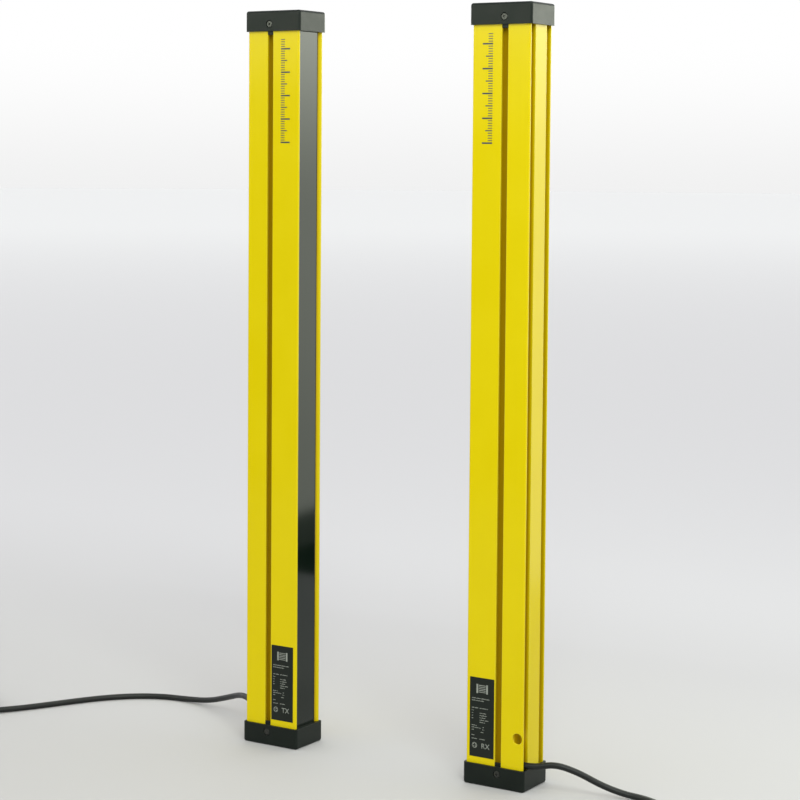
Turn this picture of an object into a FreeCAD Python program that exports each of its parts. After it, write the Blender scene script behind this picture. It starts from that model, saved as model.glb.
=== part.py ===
"""Safety light curtain: a transmitter post and a receiver post that face each other, each with its lead.

Millimetres, +Z up. The origin is on the floor, midway between the posts. +X runs from the transmitter
to the receiver. Each post is first built in its own frame, with its window on +X, its foot at Z = 0 and
its axis on Z. The receiver is then turned half round Z, so that the windows face each other.
"""

import FreeCAD
import Part
import math
import os
from dataclasses import dataclass

V = FreeCAD.Vector
UP = V(0, 0, 1)

# The pair
POST_PITCH = 225.0  # between the axes of the two posts
POST_H = 640.0  # over both caps

# The extruded housing
BODY_X = 53.0  # front to back
BODY_Y = 36.0
BODY_EDGE_R = 1.0
WALL = 1.6  # inner walls and webs
LIP = 1.8  # side walls beside the window and beside the rear grooves
SLOT_X = -3.3  # middle of the fixing slots in both sides
SLOT_MOUTH = 6.0
SLOT_LIP = 2.0
SLOT_ROOM_W = 10.0
SLOT_DEPTH = 5.5
REAR_GROOVE_W = 7.0
REAR_GROOVE_D = 9.0
REAR_WALL = 1.8
LEDGE = 2.0  # what the window's seals lie on
LEDGE_OPEN_Y = 25.8
NOTCH_D = 9.0  # hole in one side, into the rear groove that the lead uses
NOTCH_X_FROM_BACK = 5.2
NOTCH_Z = 43.5

# The window
WINDOW_RECESS = 2.4
LIP_SLOPE = 2.7  # how far the lips beside the window slope inwards over its recess
WINDOW_T = 3.0
WINDOW_EDGE_IN = 0.8  # how far its long edges run into the side walls
SEAL_T = 0.8
SEAL_W = 3.0

# The end caps
CAP_H = 17.7
CAP_OVER = 2.0  # how far a cap stands out beyond the housing
CAP_FLOOR = 4.0
CAP_EDGE_R = 2.4
CAP_END_R = 2.2  # round the closed end's edge
TONGUE_RISE = 3.0  # above the rim, in the fixing slots
GASKET_T = 1.0
FIT = 0.15  # clearance of a part in its pocket or guide
SEAL_GAP = 0.1

# Cap screws and their slot nuts
SCREW_D = 3.0
SCREW_HEAD_D = 5.6
SCREW_HEAD_H = 1.5
SCREW_KEY = 2.0  # across the flats of the socket
SCREW_KEY_DEPTH = 0.9
SCREW_RECESS_D = 6.5
SCREW_RECESS_DEPTH = 1.7
SCREW_BELOW_RIM = 6.0
SCREW_HOLE_D = 3.4
SCREW_POINT_OUT = 0.2  # past the nut
NUT_W = 9.4
NUT_L = 8.0
NUT_T = 2.8
THREAD_GAP = 0.02

# Boards and optics
BOARD_T = 1.6
OPTICS_BOARD_END = 10.0  # from each end of the post
CARRIER_END = 26.0
CARRIER_W = 24.0
CARRIER_T = 9.0
LENS_BAR_T = 3.0
LENS_D = 16.0
LENS_RISE = 1.5
BEAM_PITCH = 20.0
BEAM_END = 38.0  # least distance from a beam to the end of the post
BEAM_BORE_D = 9.0
EMITTER_D = 5.0
EMITTER_H = 5.6
SENSOR_W = 5.4
SENSOR_H = 2.6
CLIP_L = 10.0
CLIP_COUNT = 5
CLIP_END = 60.0
LAMP_SIZE = (1.6, 2.0, 1.2)  # X, Y and Z of a status lamp
LAMP_COUNT = 4
LAMP_PITCH = 4.0
LAMP_END = 17.0

# The control board, in guides behind the fixing slots
CONTROL_Z0 = 56.0
CONTROL_END = 60.0
CONTROL_GUIDE_Y = 1.8  # depth of the guides
CONTROL_GAP_REAR = 2.2
CHIP_T = 1.4
CHIPS = ((14.0, 120.0), (14.0, 210.0), (8.0, 250.0), (8.0, 380.0), (6.0, 410.0), (6.0, 440.0))  # size, height
CAPACITOR_D = 6.3
CAPACITOR_H = 8.0
CAPACITOR_Z = (88.0, 97.0, 150.0, 159.0)
LINK_W = 5.0
LINK_L = 30.0
LINK_Z = 300.0
TERMINAL = (7.0, 14.0, 13.0)
GUIDES_CUT_BACK = 30.0  # the guides are milled away below this height

# The lead
LEAD_D = 5.2
LEAD_Z = 21.0  # where it leaves the housing
LEAD_COLLAR_D = 6.8
LEAD_COLLAR_L = 3.0
LEAD_NECK_D = 5.9
LEAD_NECK_GAP = 0.05
LEAD_FLANGE_T = 1.0
CORE_D = 1.1
CORE_PITCH = 1.4
CORE_COUNT = 4
CORE_X = 5.0  # ahead of the rear chamber's back wall
CORE_BEND = 0.35  # share of the shorter run taken by each bend
LEAD_FLOOR = 0.05  # daylight under what lies on the floor
COIL_BASE = 0.7  # the coil lies on its tie
COIL_MID_R = 31.0
COIL_ROWS = 4
COIL_LAYERS = 2
COIL_EDGE_R = 2.2
TIE_W = 8.0
TIE_T = 0.6
TIE_GAP = 0.5

# The plug, along its own axis from where the lead enters
TAIL_L = 22.0
RELIEF_D = 7.4
RELIEF_L = 22.0
PLUG_D = 11.4
PLUG_BARREL_END = 36.0
PLUG_NECK_D = 9.0
PLUG_NECK_END = 46.15
PLUG_LIP_D = 10.1
PLUG_FACE = 47.2
RING_GRIP_D = 14.6
RING_THREAD_D = 11.9
RING_GAP = 0.05  # running clearance round the neck
RING_END_PLAY = 0.15
RING_GRIP_END = 44.2
RING_END = 55.0
RING_SHROUD_BORE = 10.5
RING_FLUTES = 16
RING_FLUTE_D = 1.6
PIN_D = 1.0
PIN_END = 54.0
PIN_CIRCLE_D = 5.0
PIN_COUNT = 4

# What follows from the driving sizes
FRONT = BODY_X / 2
BACK = -BODY_X / 2
SIDE = BODY_Y / 2
LIP_IN = SIDE - LIP
HOUSING_Z0 = CAP_FLOOR + GASKET_T
HOUSING_Z1 = POST_H - HOUSING_Z0
WINDOW_FACE = FRONT - WINDOW_RECESS
WINDOW_OPEN_Y = LIP_IN - LIP_SLOPE  # half of the pane's width in sight
WINDOW_BACK = WINDOW_FACE - WINDOW_T
LEDGE_FACE = WINDOW_BACK - SEAL_T
LEDGE_BACK = LEDGE_FACE - LEDGE
SLOT_FLOOR = SIDE - SLOT_DEPTH
SHOULDER_FRONT = SLOT_X + SLOT_ROOM_W / 2 + WALL
SHOULDER_REAR = SLOT_X - SLOT_ROOM_W / 2 - WALL
WAIST_Y = SLOT_FLOOR - WALL
GROOVE_FLOOR = BACK + REAR_GROOVE_D
GROOVE_MID_Y = LIP_IN - REAR_GROOVE_W / 2
REAR_ROOM = GROOVE_FLOOR + WALL
REAR_CORE_Y = LIP_IN - REAR_GROOVE_W - WALL
GUIDE_X0 = REAR_ROOM + CONTROL_GAP_REAR - SEAL_GAP
CONTROL_X0 = GUIDE_X0 + SEAL_GAP
CONTROL_X1 = CONTROL_X0 + BOARD_T
GUIDE_X1 = CONTROL_X1 + SEAL_GAP
BOARD_Y = LIP_IN - 2 * FIT
BOARD_X1 = SHOULDER_FRONT + BOARD_T
CARRIER_X1 = BOARD_X1 + CARRIER_T
LENS_X1 = CARRIER_X1 + LENS_BAR_T
SCREW_Z = CAP_H - SCREW_BELOW_RIM
HEAD_SEAT = SIDE + CAP_OVER - SCREW_RECESS_DEPTH
LEAD_START = GROOVE_FLOOR - LEAD_COLLAR_L
LEAD_LIE_Z = LEAD_D / 2 + LEAD_FLOOR
COIL_OUTER_R = COIL_MID_R + (COIL_ROWS - 1) * LEAD_D / 2
COIL_TOP_Z = COIL_BASE + COIL_LAYERS * LEAD_D
PLUG_AXIS_Z = RING_GRIP_D / 2 + LEAD_FLOOR


@dataclass(frozen=True)
class Unit:
    """One post: where it stands, which way it faces, and how its lead lies on the floor."""

    name: str
    facing: int  # +1 looks along +X, -1 along -X
    plate_side: int  # the local side that carries the rating plate
    optics: str
    route: tuple  # the lead's points after the collar, in the pair's frame
    coil_centre: tuple
    coil_turn: int  # +1 wound anticlockwise from above
    coil_in: float  # where the lead joins the coil, in degrees
    coil_out: float  # where it leaves again
    tie_at: float  # where the strap goes round the coil


UNITS = (
    Unit(
        name="transmitter",
        facing=1,
        plate_side=-1,
        optics="emitters",
        route=(
            (-147.5, 12.7, 21.0),
            (-163.5, 20.0, 25.5),
            (-184.0, 34.5, 23.5),
            (-208.5, 46.5, 14.5),
            (-235.0, 54.0, 6.0),
            (-262.0, 57.5, LEAD_LIE_Z),
            (-290.0, 52.5, LEAD_LIE_Z),
            (-313.5, 38.0, LEAD_LIE_Z),
            (-332.0, 17.5, LEAD_LIE_Z),
            (-346.0, -6.0, LEAD_LIE_Z),
            (-358.5, -30.5, LEAD_LIE_Z),
            (-371.5, -54.5, LEAD_LIE_Z),
            (-386.5, -78.0, COIL_BASE + LEAD_D / 2),
        ),
        coil_centre=(-435.0, -81.0),
        coil_turn=-1,
        coil_in=-34.0,
        coil_out=180.0,
        tie_at=226.0,
    ),
    Unit(
        name="receiver",
        facing=-1,
        plate_side=1,
        optics="sensors",
        route=(
            (148.0, -12.7, 21.0),
            (164.5, -10.6, 26.0),
            (182.0, -3.5, 20.4),
            (198.5, 5.0, 10.6),
            (215.0, 12.2, 4.3),
            (232.5, 15.0, LEAD_LIE_Z),
            (249.5, 8.0, LEAD_LIE_Z),
            (263.0, -6.0, LEAD_LIE_Z),
            (271.5, -23.5, LEAD_LIE_Z),
            (276.5, -44.0, COIL_BASE + LEAD_D / 2),
        ),
        coil_centre=(244.0, -81.6),
        coil_turn=-1,
        coil_in=10.0,
        coil_out=-90.0,
        tie_at=190.0,
    ),
)


def box(x0, x1, y0, y1, z0, z1):
    """Return a block between two corners."""
    return Part.makeBox(x1 - x0, y1 - y0, z1 - z0, V(x0, y0, z0))


def bar(x0, x1, half_y, z0, z1):
    """Return a block that is centred across the post."""
    return box(x0, x1, -half_y, half_y, z0, z1)


def rounded_block(half_x, half_y, radius, z0, z1):
    """Return a block on the post's axis with its four upright edges rounded."""
    block = box(-half_x, half_x, -half_y, half_y, z0, z1)
    upright = [e for e in block.Edges if abs(e.tangentAt(e.FirstParameter).z) > 0.9]
    return block.makeFillet(radius, upright)


def window_channel(gap, x1, z0, z1):
    """Return what fills the channel before the window out to x1, clear of its face and sloped lips by a gap."""
    x0 = WINDOW_FACE + gap
    half0, half1 = (WINDOW_OPEN_Y - gap + (x - WINDOW_FACE) * LIP_SLOPE / WINDOW_RECESS for x in (x0, x1))
    corners = [V(x0, -half0, z0), V(x1, -half1, z0), V(x1, half1, z0), V(x0, half0, z0), V(x0, -half0, z0)]
    return Part.Face(Part.makePolygon(corners)).extrude(V(0, 0, z1 - z0))


def both_sides(block):
    """Return a block of the +Y side together with its mirror image on the -Y side."""
    return [block, block.mirror(V(0, 0, 0), V(0, 1, 0))]


def joined(shapes):
    """Return several touching or overlapping shapes as one clean solid."""
    first, rest = shapes[0], list(shapes[1:])
    return first.fuse(rest).removeSplitter() if rest else first


def turned(profile, origin, direction):
    """Return a body of revolution from (distance, radius) steps along a direction."""
    solids = []
    for (d0, r0), (d1, r1) in zip(profile, profile[1:]):
        if d1 == d0:
            continue
        start = origin + direction * d0
        if r0 == r1:
            solids.append(Part.makeCylinder(r0, d1 - d0, start, direction))
        else:
            solids.append(Part.makeCone(r0, r1, d1 - d0, start, direction))
    return joined(solids)


def bent_path(points, share=0.45):
    """Return a wire of straight runs and tangent arcs through points, and its arcs' radii."""
    edges = []
    radii = []
    start = points[0]
    for before, corner, after in zip(points, points[1:], points[2:]):
        run_in, run_out = corner - before, after - corner
        shorter = min(run_in.Length, run_out.Length)
        half_turn = run_in.getAngle(run_out) / 2
        trim = share * shorter
        radius = trim / math.tan(half_turn)
        unit_in, unit_out = V(run_in).normalize(), V(run_out).normalize()
        arc_start, arc_end = corner - unit_in * trim, corner + unit_out * trim
        inward = (unit_out - unit_in).normalize()
        middle = corner + inward * (radius / math.cos(half_turn) - radius)
        edges.append(Part.LineSegment(start, arc_start).toShape())
        edges.append(Part.Arc(arc_start, middle, arc_end).toShape())
        radii.append(radius)
        start = arc_end
    edges.append(Part.LineSegment(start, points[-1]).toShape())
    return Part.Wire(edges), radii


def tube(points, diameter, share=0.45):
    """Return a round tube along a bent path, with the path's length and radii."""
    path, radii = bent_path(points, share)
    heading = (points[1] - points[0]).normalize()
    ring = Part.Wire([Part.Circle(points[0], heading, diameter / 2).toShape()])
    solid = path.makePipeShell([ring], True, True)
    return solid, path.Length, radii


def housing():
    """Return the extrusion: window channel, fixing slots, rear grooves and one long inner chamber."""
    z0, z1 = HOUSING_Z0, HOUSING_Z1
    slot_half = SLOT_MOUTH / 2
    room_half = SLOT_ROOM_W / 2
    cuts = [
        window_channel(0, FRONT + 1, z0, z1),
        bar(LEDGE_FACE, WINDOW_FACE + SEAL_GAP, LIP_IN + WINDOW_EDGE_IN, z0, z1),
        bar(LEDGE_BACK, LEDGE_FACE, LEDGE_OPEN_Y / 2, z0, z1),
        bar(SHOULDER_FRONT, LEDGE_BACK, LIP_IN, z0, z1),
        bar(SHOULDER_REAR, SHOULDER_FRONT, WAIST_Y, z0, z1),
        bar(REAR_ROOM, SHOULDER_REAR, LIP_IN - CONTROL_GUIDE_Y, z0, z1),
        bar(GUIDE_X0, GUIDE_X1, LIP_IN, z0, z1),
        bar(REAR_ROOM, SHOULDER_REAR, LIP_IN, z0, GUIDES_CUT_BACK),
        bar(BACK + REAR_WALL, REAR_ROOM, REAR_CORE_Y, z0, z1),
    ]
    cuts += both_sides(box(SLOT_X - slot_half, SLOT_X + slot_half, SIDE - SLOT_LIP, SIDE + 1, z0, z1))
    cuts += both_sides(box(SLOT_X - room_half, SLOT_X + room_half, SLOT_FLOOR, SIDE - SLOT_LIP, z0, z1))
    cuts += both_sides(box(BACK - 1, GROOVE_FLOOR, LIP_IN - REAR_GROOVE_W, LIP_IN, z0, z1))
    hole_r = LEAD_NECK_D / 2 + LEAD_NECK_GAP
    cuts.append(Part.makeCylinder(hole_r, WALL, V(GROOVE_FLOOR, GROOVE_MID_Y, LEAD_Z), V(1, 0, 0)))
    notch_at = V(BACK + NOTCH_X_FROM_BACK, LIP_IN, NOTCH_Z)
    cuts.append(Part.makeCylinder(NOTCH_D / 2, LIP + 1, notch_at, V(0, 1, 0)))
    blank = rounded_block(FRONT, SIDE, BODY_EDGE_R, z0, z1)
    return blank.cut(cuts).removeSplitter()


def window():
    """Return the flat pane, its long edges held in the side walls."""
    half_y = LIP_IN + WINDOW_EDGE_IN - FIT
    return bar(WINDOW_BACK, WINDOW_FACE, half_y, HOUSING_Z0, HOUSING_Z1)


def window_seals():
    """Return the two seal strips that the pane is pressed on."""
    outer = LIP_IN + WINDOW_EDGE_IN - FIT
    strip = box(LEDGE_FACE, WINDOW_BACK, outer - SEAL_W, outer, HOUSING_Z0, HOUSING_Z1)
    return both_sides(strip)


def cap_at_foot():
    """Return the bottom cap: a moulded cup with a nose in the window channel and two slot tongues."""
    block = rounded_block(FRONT + CAP_OVER, SIDE + CAP_OVER, CAP_EDGE_R, 0, CAP_H)
    block = block.makeFillet(CAP_END_R, [e for e in block.Edges if e.BoundBox.ZMax < 0.01])
    pocket = rounded_block(FRONT + FIT, SIDE + FIT, BODY_EDGE_R + FIT, CAP_FLOOR, CAP_H + 1)
    nose = window_channel(FIT, FRONT + CAP_OVER / 2, CAP_FLOOR, CAP_H)
    cap = joined([block.cut(pocket), nose])
    tongue_half = SLOT_MOUTH / 2 - FIT
    inner = SIDE - SLOT_LIP + SEAL_GAP
    tongue_x = (SLOT_X - tongue_half, SLOT_X + tongue_half)
    low = box(*tongue_x, inner, SIDE + CAP_OVER / 2, CAP_FLOOR, CAP_H)
    high = box(*tongue_x, inner, SIDE - 2 * FIT, CAP_FLOOR, CAP_H + TONGUE_RISE)
    cap = joined([cap] + both_sides(low) + both_sides(high))
    across = V(0, 1, 0)
    recess_at = V(SLOT_X, HEAD_SEAT, SCREW_Z)
    recess = Part.makeCylinder(SCREW_RECESS_D / 2, CAP_OVER, recess_at, across)
    hole = Part.makeCylinder(SCREW_HOLE_D / 2, HEAD_SEAT - SLOT_FLOOR, V(SLOT_X, SLOT_FLOOR, SCREW_Z), across)
    return cap.cut(both_sides(recess) + both_sides(hole)).removeSplitter()


def gasket_at_foot():
    """Return the foot's gasket, notched for the cap's nose and tongues."""
    plate = rounded_block(FRONT, SIDE, BODY_EDGE_R, CAP_FLOOR, HOUSING_Z0)
    nose = window_channel(0, FRONT + 1, 0, CAP_H)
    slot_half = SLOT_MOUTH / 2
    tongue = box(SLOT_X - slot_half, SLOT_X + slot_half, SIDE - SLOT_LIP, SIDE + 1, 0, CAP_H)
    return plate.cut([nose] + both_sides(tongue))


def at_both_ends(shapes):
    """Return pieces of the foot together with their mirror images at the head."""
    return shapes + [upside_down(s) for s in shapes]


def upside_down(shape):
    """Return a piece of the foot as the same piece at the head."""
    return shape.mirror(V(0, 0, POST_H / 2), UP)


def cap_screw():
    """Return one cap screw on the +Y side of the foot."""
    seat = V(SLOT_X, HEAD_SEAT, SCREW_Z)
    inward = V(0, -1, 0)
    shank_l = HEAD_SEAT - (SIDE - SLOT_LIP - NUT_T) + SCREW_POINT_OUT
    shank = Part.makeCylinder(SCREW_D / 2, shank_l, seat, inward)
    head = Part.makeCylinder(SCREW_HEAD_D / 2, SCREW_HEAD_H, seat, V(0, 1, 0))
    head = head.makeFillet(0.4, [e for e in head.Edges if e.BoundBox.YMin > HEAD_SEAT + SCREW_HEAD_H / 2])
    top_y = HEAD_SEAT + SCREW_HEAD_H
    corners = [V(SLOT_X + SCREW_KEY / math.sqrt(3) * math.cos(math.radians(60 * i)),
                 top_y - SCREW_KEY_DEPTH,
                 SCREW_Z + SCREW_KEY / math.sqrt(3) * math.sin(math.radians(60 * i))) for i in range(7)]
    socket = Part.Face(Part.makePolygon(corners)).extrude(V(0, 2 * SCREW_KEY_DEPTH, 0))
    return joined([shank, head]).cut(socket)


def cap_nut():
    """Return one slot nut on the +Y side of the foot, up against the slot's lips."""
    outer = SIDE - SLOT_LIP
    plate = box(SLOT_X - NUT_W / 2, SLOT_X + NUT_W / 2, outer - NUT_T, outer,
                SCREW_Z - NUT_L / 2, SCREW_Z + NUT_L / 2)
    hole = Part.makeCylinder(SCREW_D / 2 + THREAD_GAP, NUT_T + 2,
                             V(SLOT_X, outer - NUT_T - 1, SCREW_Z), V(0, 1, 0))
    return plate.cut(hole)


def rating_plate(side):
    """Return the foil plate beside the fixing slot, low on one side of the post."""
    plate_w, plate_h, plate_t = 22.8, 66.0, 0.25
    above_rim, from_slot = 5.5, 0.9
    x0 = SLOT_X + SLOT_MOUTH / 2 + from_slot
    z0 = CAP_H + above_rim
    plate = box(x0, x0 + plate_w, SIDE, SIDE + plate_t, z0, z0 + plate_h)
    return plate if side > 0 else plate.mirror(V(0, 0, 0), V(0, 1, 0))


def beam_heights():
    """Return the heights of the beams, evenly pitched about the middle of the post."""
    count = int((POST_H - 2 * BEAM_END) / BEAM_PITCH) + 1
    first = (POST_H - (count - 1) * BEAM_PITCH) / 2
    return [first + i * BEAM_PITCH for i in range(count)]


def lens_strip():
    """Return the moulded bar with one shallow lens for each beam."""
    strip = bar(CARRIER_X1, LENS_X1, CARRIER_W / 2, CARRIER_END, POST_H - CARRIER_END)
    ball_r = ((LENS_D / 2) ** 2 + LENS_RISE**2) / (2 * LENS_RISE)
    centre_x = LENS_X1 + LENS_RISE - ball_r
    front_half = bar(CARRIER_X1, LENS_X1 + LENS_RISE + 1, CARRIER_W / 2, 0, POST_H)
    lenses = [Part.makeSphere(ball_r, V(centre_x, 0, z)).common(front_half) for z in beam_heights()]
    return joined([strip] + lenses)


def optics_carrier():
    """Return the black bar with a bore for each beam."""
    block = bar(BOARD_X1, CARRIER_X1, CARRIER_W / 2, CARRIER_END, POST_H - CARRIER_END)
    bores = [
        Part.makeCylinder(BEAM_BORE_D / 2, CARRIER_T + 2, V(BOARD_X1 - 1, 0, z), V(1, 0, 0))
        for z in beam_heights()
    ]
    return block.cut(bores)


def emitters():
    """Return the round emitter diodes, each with a domed end."""
    radius = EMITTER_D / 2
    lamps = []
    for z in beam_heights():
        body = Part.makeCylinder(radius, EMITTER_H - radius, V(BOARD_X1, 0, z), V(1, 0, 0))
        dome = Part.makeSphere(radius, V(BOARD_X1 + EMITTER_H - radius, 0, z))
        lamps.append(joined([body, dome]))
    return lamps


def sensors():
    """Return the square photodiodes, each with a small lens."""
    half = SENSOR_W / 2
    eyes = []
    for z in beam_heights():
        body = box(BOARD_X1, BOARD_X1 + SENSOR_H, -half, half, z - half, z + half)
        lens_r = half * 0.8
        lens = Part.makeSphere(lens_r, V(BOARD_X1 + SENSOR_H, 0, z))
        eyes.append(joined([body, lens.common(box(BOARD_X1, FRONT, -half, half, z - half, z + half))]))
    return eyes


def optics_board():
    """Return the long board that seats on the housing's front shoulders."""
    return bar(SHOULDER_FRONT, BOARD_X1, BOARD_Y, OPTICS_BOARD_END, POST_H - OPTICS_BOARD_END)


def board_clips():
    """Return the clips wedged between the optics board and the window's ledge."""
    inner, outer = CARRIER_W / 2 + FIT, LIP_IN - FIT
    step = (POST_H - 2 * CLIP_END - CLIP_L) / (CLIP_COUNT - 1)
    clips = []
    for i in range(CLIP_COUNT):
        z = CLIP_END + i * step
        clips += both_sides(box(BOARD_X1, LEDGE_BACK, inner, outer, z, z + CLIP_L))
    return clips


def status_lamps():
    """Return the small lamps at the head end of the optics board."""
    size_x, size_y, size_z = LAMP_SIZE
    z = POST_H - LAMP_END
    first = -(LAMP_COUNT - 1) * LAMP_PITCH / 2
    centres = [first + i * LAMP_PITCH for i in range(LAMP_COUNT)]
    return [box(BOARD_X1, BOARD_X1 + size_x, y - size_y / 2, y + size_y / 2, z, z + size_z) for y in centres]


def control_board():
    """Return the board that slides in the rear guides."""
    return bar(CONTROL_X0, CONTROL_X1, BOARD_Y, CONTROL_Z0, POST_H - CONTROL_END)


def control_chips():
    """Return the flat packages on the control board's front."""
    return [bar(CONTROL_X1, CONTROL_X1 + CHIP_T, size / 2, z, z + size) for size, z in CHIPS]


def capacitors():
    """Return the round capacitors on the control board's front."""
    forward = V(1, 0, 0)
    radius = CAPACITOR_D / 2
    return [Part.makeCylinder(radius, CAPACITOR_H, V(CONTROL_X1, 0, z), forward) for z in CAPACITOR_Z]


def board_link():
    """Return the stacking connector between the two boards."""
    return bar(CONTROL_X1, SHOULDER_FRONT, LINK_W / 2, LINK_Z, LINK_Z + LINK_L)


def terminal_block():
    """Return the block at the foot of the control board where the lead's cores end."""
    size_x, size_y, size_z = TERMINAL
    return bar(CONTROL_X1, CONTROL_X1 + size_x, size_y / 2, CONTROL_Z0, CONTROL_Z0 + size_z)


def lead_collar():
    """Return the moulded collar that seats the lead in the rear groove's floor."""
    inner = REAR_ROOM + LEAD_FLANGE_T
    steps = (
        (0.0, LEAD_COLLAR_D / 2),
        (LEAD_COLLAR_L, LEAD_COLLAR_D / 2),
        (LEAD_COLLAR_L, LEAD_NECK_D / 2),
        (REAR_ROOM - LEAD_START, LEAD_NECK_D / 2),
        (REAR_ROOM - LEAD_START, LEAD_COLLAR_D / 2),
        (inner - LEAD_START, LEAD_COLLAR_D / 2),
    )
    return turned(steps, V(LEAD_START, GROOVE_MID_Y, LEAD_Z), V(1, 0, 0))


def lead_cores():
    """Return the insulated cores from the collar to the terminal block, side by side."""
    start_x = REAR_ROOM + LEAD_FLANGE_T
    cross_x = REAR_ROOM + CORE_X
    middle = (CORE_COUNT - 1) / 2
    cores = []
    for i in range(CORE_COUNT):
        offset = (i - middle) * CORE_PITCH
        z = LEAD_Z + offset
        y = offset
        points = [
            V(start_x, GROOVE_MID_Y, z),
            V(cross_x, GROOVE_MID_Y, z),
            V(cross_x, y, z),
            V(cross_x, y, CONTROL_Z0),
        ]
        cores.append(tube(points, CORE_D, CORE_BEND)[0])
    return cores


def circle_point(unit, angle, z):
    """Return a point on the coil's outermost turn."""
    a = math.radians(angle)
    return V(unit.coil_centre[0] + COIL_OUTER_R * math.cos(a),
             unit.coil_centre[1] + COIL_OUTER_R * math.sin(a), z)


def coil_heading(unit, angle):
    """Return the direction in which the lead runs along the coil at an angle."""
    a = math.radians(angle)
    return V(-math.sin(a), math.cos(a), 0) * unit.coil_turn


def lead(unit):
    """Return the lead's two uncoiled stretches: collar to coil, and coil to plug."""
    start = placed(V(LEAD_START, GROOVE_MID_Y, LEAD_Z), unit)
    low = COIL_BASE + LEAD_D / 2
    points = [start] + [V(*p) for p in unit.route] + [circle_point(unit, unit.coil_in, low)]
    run, length, radii = tube(points, LEAD_D)
    tail_start = circle_point(unit, unit.coil_out, PLUG_AXIS_Z)
    tail_end = tail_start + coil_heading(unit, unit.coil_out) * TAIL_L
    tail = Part.makeCylinder(LEAD_D / 2, TAIL_L, tail_start, (tail_end - tail_start).normalize())
    section = math.pi * LEAD_D**2 / 4
    turns = sum(2 * math.pi * (COIL_MID_R + (i - (COIL_ROWS - 1) / 2) * LEAD_D) for i in range(COIL_ROWS))
    total = length + turns * COIL_LAYERS + TAIL_L
    print(f"{unit.name} lead: run {length:.0f}, coil {turns * COIL_LAYERS:.0f}, whole {total:.0f};",
          f"volume over section times length {run.Volume / (section * length):.4f}")
    print("   radii:", " ".join(f"{r:.0f}" for r in radii))
    return [run, tail]


def lead_coil(unit):
    """Return the outer shape of the coiled rest of the lead."""
    centre = V(*unit.coil_centre, COIL_BASE)
    outer = COIL_OUTER_R + LEAD_D / 2
    inner = outer - COIL_ROWS * LEAD_D
    height = COIL_LAYERS * LEAD_D
    ring = Part.makeCylinder(outer, height, centre).cut(Part.makeCylinder(inner, height, centre))
    return ring.makeFillet(COIL_EDGE_R, [e for e in ring.Edges if e.Curve.TypeId == "Part::GeomCircle"])


def coil_tie(unit):
    """Return the strap round the coil."""
    outer = COIL_OUTER_R + LEAD_D / 2
    inner = outer - COIL_ROWS * LEAD_D
    z0, z1 = COIL_BASE - SEAL_GAP / 2, COIL_TOP_Z + SEAL_GAP
    x0, x1 = inner - TIE_GAP, outer + SEAL_GAP
    strap = box(x0 - TIE_T, x1 + TIE_T, -TIE_W / 2, TIE_W / 2, z0 - TIE_T, z1 + TIE_T)
    strap = strap.cut(box(x0, x1, -TIE_W, TIE_W, z0, z1))
    strap.rotate(V(0, 0, 0), UP, unit.tie_at)
    strap.translate(V(*unit.coil_centre, 0))
    return strap


def plug_frame(unit):
    """Return where the lead enters the plug, and the plug's direction."""
    direction = coil_heading(unit, unit.coil_out)
    return circle_point(unit, unit.coil_out, PLUG_AXIS_Z) + direction * TAIL_L, direction


def plug_body(unit):
    """Return the moulded plug: tapered strain relief, barrel, neck and the lip that keeps its ring."""
    steps = (
        (0.0, RELIEF_D / 2),
        (RELIEF_L, PLUG_D / 2),
        (PLUG_BARREL_END, PLUG_D / 2),
        (PLUG_BARREL_END, PLUG_NECK_D / 2),
        (PLUG_NECK_END, PLUG_NECK_D / 2),
        (PLUG_NECK_END, PLUG_LIP_D / 2),
        (PLUG_FACE, PLUG_LIP_D / 2),
    )
    return turned(steps, *plug_frame(unit))


def plug_ring(unit):
    """Return the coupling ring that turns on the plug's neck."""
    origin, direction = plug_frame(unit)
    start = PLUG_BARREL_END + RING_END_PLAY
    inner_shoulder = PLUG_NECK_END - RING_END_PLAY
    ring = turned(
        (
            (start, RING_GRIP_D / 2),
            (RING_GRIP_END, RING_GRIP_D / 2),
            (RING_GRIP_END, RING_THREAD_D / 2),
            (RING_END, RING_THREAD_D / 2),
        ),
        origin,
        direction,
    )
    bore = turned(
        (
            (start, PLUG_NECK_D / 2 + RING_GAP),
            (inner_shoulder, PLUG_NECK_D / 2 + RING_GAP),
            (inner_shoulder, RING_SHROUD_BORE / 2),
            (RING_END, RING_SHROUD_BORE / 2),
        ),
        origin,
        direction,
    )
    across = direction.cross(UP)
    flutes = []
    for i in range(RING_FLUTES):
        angle = 2 * math.pi * (i + 0.5) / RING_FLUTES
        offset = (across * math.cos(angle) + UP * math.sin(angle)) * (RING_GRIP_D / 2 + RING_FLUTE_D / 4)
        at = origin + direction * start + offset
        flutes.append(Part.makeCylinder(RING_FLUTE_D / 2, RING_GRIP_END - start, at, direction))
    return ring.cut([bore] + flutes)


def plug_pins(unit):
    """Return the contact pins that stand out of the plug's face, inside the ring."""
    origin, direction = plug_frame(unit)
    across = direction.cross(UP)
    pins = []
    for i in range(PIN_COUNT):
        angle = 2 * math.pi * (i + 0.5) / PIN_COUNT
        offset = (across * math.cos(angle) + UP * math.sin(angle)) * PIN_CIRCLE_D / 2
        at = origin + direction * PLUG_FACE + offset
        pins.append(Part.makeCylinder(PIN_D / 2, PIN_END - PLUG_FACE, at, direction))
    return pins


def placed(shape, unit):
    """Return a shape or a point of the post's own frame in the pair's frame."""
    shift = V(-unit.facing * POST_PITCH / 2, 0, 0)
    if isinstance(shape, FreeCAD.Vector):
        return V(shape.x * unit.facing, shape.y * unit.facing, shape.z) + shift
    copy = shape.copy()
    if unit.facing < 0:
        copy.rotate(V(0, 0, 0), UP, 180)
    copy.translate(shift)
    return copy


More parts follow.
